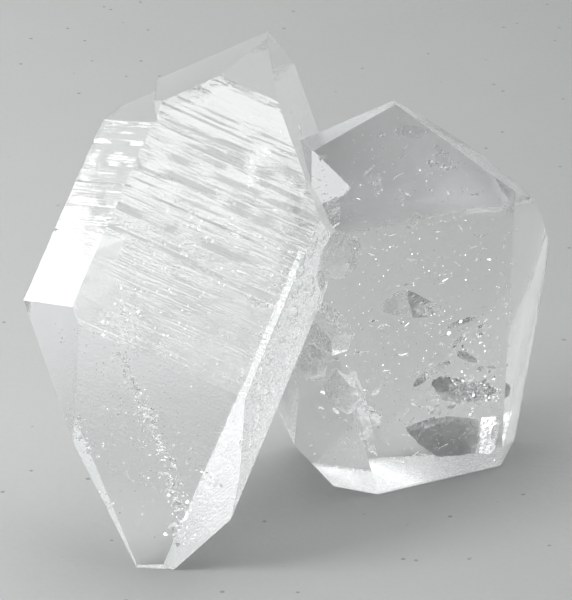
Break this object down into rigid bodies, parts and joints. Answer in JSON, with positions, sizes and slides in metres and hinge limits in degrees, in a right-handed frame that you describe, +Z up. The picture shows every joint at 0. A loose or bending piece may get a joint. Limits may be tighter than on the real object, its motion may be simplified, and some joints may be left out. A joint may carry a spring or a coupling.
{
  "type": "quartz crystal pair",
  "caption": "Clear quartz crystals grown together: a leaning crystal with pointed ends against a broad, partly broken standing crystal, resting on its own tip and foot",
  "frame": {"origin": "on the surface that the crystals stand on, below the middle of the bounding box", "axes": "+Z up, -Y towards the side that the crystals are seen from, +X to the right there, along the row of the two crystals"},
  "size_m": [0.071, 0.055, 0.0625],
  "materials": {
    "rock_crystal": "clear colourless quartz, bright crystal faces with fine growth lines, frosted where it is etched or broken"
  },
  "bodies": {
    "root": {"quartz_crystals": "rock_crystal"}
  },
  "joints": []
}
